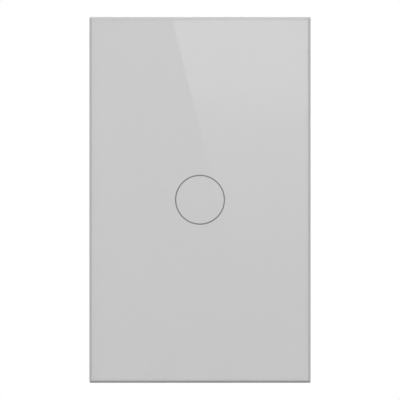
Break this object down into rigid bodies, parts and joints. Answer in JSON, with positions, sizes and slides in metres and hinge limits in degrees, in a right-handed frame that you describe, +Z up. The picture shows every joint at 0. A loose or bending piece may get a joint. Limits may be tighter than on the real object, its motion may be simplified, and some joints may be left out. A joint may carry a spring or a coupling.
{
  "type": "wall light switch",
  "caption": "One-gang glass touch light switch with a grey glass front, a printed touch ring, a steel yoke, screw terminals and a rear housing for a wall box.",
  "frame": {"origin": "on the wall plane at the back of the yoke's ears, midway between the two wall box screws", "axes": "+X to the right as seen from the front, +Y into the wall, +Z up"},
  "size_m": [0.0724, 0.035, 0.12],
  "materials": {
    "clear_glass": "polished tempered glass",
    "grey_print": "even light grey screen print",
    "ring_ink": "translucent dark grey ink",
    "adhesive": "foam adhesive sheet",
    "frame_plastic": "fine spark texture",
    "clear_acrylic": "polished acrylic",
    "spring_steel": "bright spring steel",
    "galvanised_steel": "galvanised with soft spangle",
    "housing_plastic": "fine spark texture",
    "screw_steel": "zinc plated",
    "touch_board_laminate": "white solder mask",
    "led_resin": "clear resin",
    "chip_resin": "black epoxy",
    "module_laminate": "dark blue solder mask",
    "shield_steel": "tinned steel",
    "switch_steel": "tinned steel",
    "button_plastic": "black acetal",
    "header_plastic": "black nylon",
    "gilt_brass": "gilt",
    "power_board_laminate": "green solder mask",
    "relay_plastic": "black moulded",
    "relay_iron": "nickel plated iron",
    "bobbin_plastic": "black nylon",
    "copper_winding": "enamelled copper wire",
    "contact_brass": "brass strip",
    "ferrite": "sintered ferrite",
    "winding_tape": "yellow polyester tape",
    "capacitor_sleeve": "black sleeve with a bare top",
    "film_case": "grey moulded case",
    "fuse_case": "brown moulded case",
    "varistor_coat": "blue dipped epoxy",
    "terminal_plastic": "dark grey moulded",
    "clamp_steel": "passivated zinc plate"
  },
  "bodies": {
    "base": {"yoke": "galvanised_steel", "rear_housing": "housing_plastic", "housing_screws": "screw_steel", "touch_board": "touch_board_laminate", "touch_board_screws": "screw_steel", "touch_spring": "spring_steel", "ring_leds": "led_resin", "touch_chips": "chip_resin", "wifi_module_board": "module_laminate", "wifi_shield_can": "shield_steel", "pairing_switch_body": "switch_steel", "board_header": "header_plastic", "header_pins": "gilt_brass", "header_socket": "header_plastic", "power_board": "power_board_laminate", "power_board_screws": "screw_steel", "relay_base": "relay_plastic", "relay_case": "relay_plastic", "relay_frame": "relay_iron", "relay_bobbin": "bobbin_plastic", "relay_winding": "copper_winding", "relay_contacts": "contact_brass", "transformer_core": "ferrite", "transformer_bobbin": "bobbin_plastic", "transformer_winding": "winding_tape", "main_capacitor": "capacitor_sleeve", "output_capacitor": "capacitor_sleeve", "film_capacitor": "film_case", "fuse": "fuse_case", "varistor": "varistor_coat", "power_chips": "chip_resin", "terminal_block": "terminal_plastic", "terminal_bars": "contact_brass"},
    "front_panel": {"glass_panel": "clear_glass", "printed_coat": "grey_print", "ring_print": "ring_ink", "adhesive_sheet": "adhesive", "panel_frame": "frame_plastic", "light_ring": "clear_acrylic", "panel_spring_clips": "spring_steel"},
    "pairing_button": {"pairing_button": "button_plastic"},
    "relay_armature": {"relay_armature": "relay_iron"},
    "box_screw_upper": {"box_screw_upper": "screw_steel"},
    "box_screw_lower": {"box_screw_lower": "screw_steel"},
    "terminal_screw_1": {"terminal_screw_1": "clamp_steel"},
    "terminal_cage_1": {"terminal_cage_1": "clamp_steel"},
    "terminal_screw_2": {"terminal_screw_2": "clamp_steel"},
    "terminal_cage_2": {"terminal_cage_2": "clamp_steel"},
    "terminal_screw_3": {"terminal_screw_3": "clamp_steel"},
    "terminal_cage_3": {"terminal_cage_3": "clamp_steel"},
    "terminal_screw_4": {"terminal_screw_4": "clamp_steel"},
    "terminal_cage_4": {"terminal_cage_4": "clamp_steel"}
  },
  "joints": [
    {"name": "panel_pull", "type": "slide", "parent": "base", "child": "front_panel", "axis": [0, -1, 0], "range_m": [0, 0.03], "deforming": ["panel_spring_clips"]},
    {"name": "pairing_button_press", "type": "slide", "parent": "base", "child": "pairing_button", "axis": [0, 1, 0], "range_m": [0, 0.00025], "stiffness_N_per_m": 300, "springref_m": -0.001},
    {"name": "relay_armature_rock", "type": "hinge", "parent": "base", "child": "relay_armature", "pos_m": [-0.0106, 0.0189, -0.0085], "axis": [0, 0, 1], "range_deg": [0, 4.5], "stiffness_Nm_per_rad": 0.02, "springref_deg": -2.86},
    {"name": "terminal_screw_1_turn", "type": "hinge", "parent": "base", "child": "terminal_screw_1", "pos_m": [-0.0114, 0, -0.0246], "axis": [0, -1, 0], "range_deg": [0, 2016]},
    {"name": "terminal_cage_1_rise", "type": "slide", "parent": "base", "child": "terminal_cage_1", "axis": [0, 1, 0], "range_m": [0, 0.0028]},
    {"name": "terminal_screw_2_turn", "type": "hinge", "parent": "base", "child": "terminal_screw_2", "pos_m": [-0.0038, 0, -0.0246], "axis": [0, -1, 0], "range_deg": [0, 2016]},
    {"name": "terminal_cage_2_rise", "type": "slide", "parent": "base", "child": "terminal_cage_2", "axis": [0, 1, 0], "range_m": [0, 0.0028]},
    {"name": "terminal_screw_3_turn", "type": "hinge", "parent": "base", "child": "terminal_screw_3", "pos_m": [0.0038, 0, -0.0246], "axis": [0, -1, 0], "range_deg": [0, 2016]},
    {"name": "terminal_cage_3_rise", "type": "slide", "parent": "base", "child": "terminal_cage_3", "axis": [0, 1, 0], "range_m": [0, 0.0028]},
    {"name": "terminal_screw_4_turn", "type": "hinge", "parent": "base", "child": "terminal_screw_4", "pos_m": [0.0114, 0, -0.0246], "axis": [0, -1, 0], "range_deg": [0, 2016]},
    {"name": "terminal_cage_4_rise", "type": "slide", "parent": "base", "child": "terminal_cage_4", "axis": [0, 1, 0], "range_m": [0, 0.0028]},
    {"name": "box_screw_upper_turn", "type": "hinge", "parent": "base", "child": "box_screw_upper", "pos_m": [0, 0, 0.04165], "axis": [0, 1, 0], "continuous": true},
    {"name": "box_screw_lower_turn", "type": "hinge", "parent": "base", "child": "box_screw_lower", "pos_m": [0, 0, -0.04165], "axis": [0, 1, 0], "continuous": true}
  ],
  "couplings": [
    {"joint": "terminal_screw_1_turn", "follows": "terminal_cage_1_rise", "rad_per_m": 12566},
    {"joint": "terminal_screw_2_turn", "follows": "terminal_cage_2_rise", "rad_per_m": 12566},
    {"joint": "terminal_screw_3_turn", "follows": "terminal_cage_3_rise", "rad_per_m": 12566},
    {"joint": "terminal_screw_4_turn", "follows": "terminal_cage_4_rise", "rad_per_m": 12566}
  ]
}
